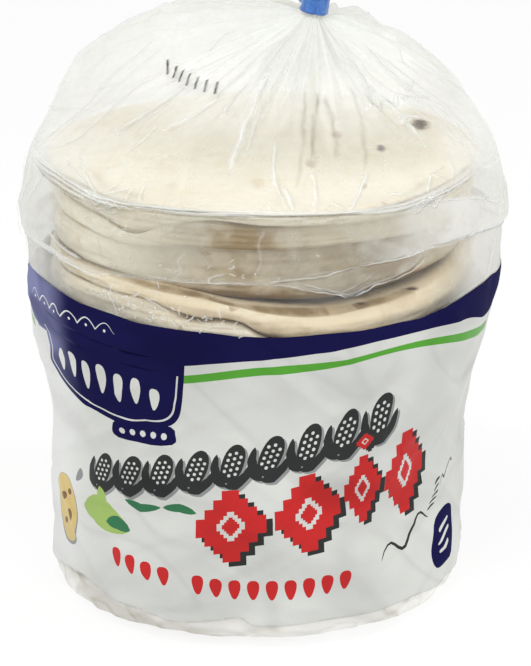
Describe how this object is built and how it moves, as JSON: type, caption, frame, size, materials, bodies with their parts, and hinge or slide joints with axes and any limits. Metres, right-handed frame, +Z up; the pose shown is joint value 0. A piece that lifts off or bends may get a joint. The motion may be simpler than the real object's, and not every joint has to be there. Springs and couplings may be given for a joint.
{
  "type": "bagged corn tortilla stack",
  "caption": "Round stack of corn tortillas in a sealed clear film bag with a printed lower half, gathered to a neck closed with blue tape.",
  "frame": {"origin": "centre of the bag's bounding box in plan, on the surface it stands on", "axes": "+Z up along the stack, -Y towards the printed front, +X to the right of someone facing that front"},
  "size_m": [0.1734, 0.1592, 0.2555],
  "materials": {
    "film": "clear above, printed opaque white below",
    "tape": "semi-gloss"
  },
  "bodies": {
    "root": {"bag": "film", "neck_tape": "tape"}
  },
  "joints": []
}
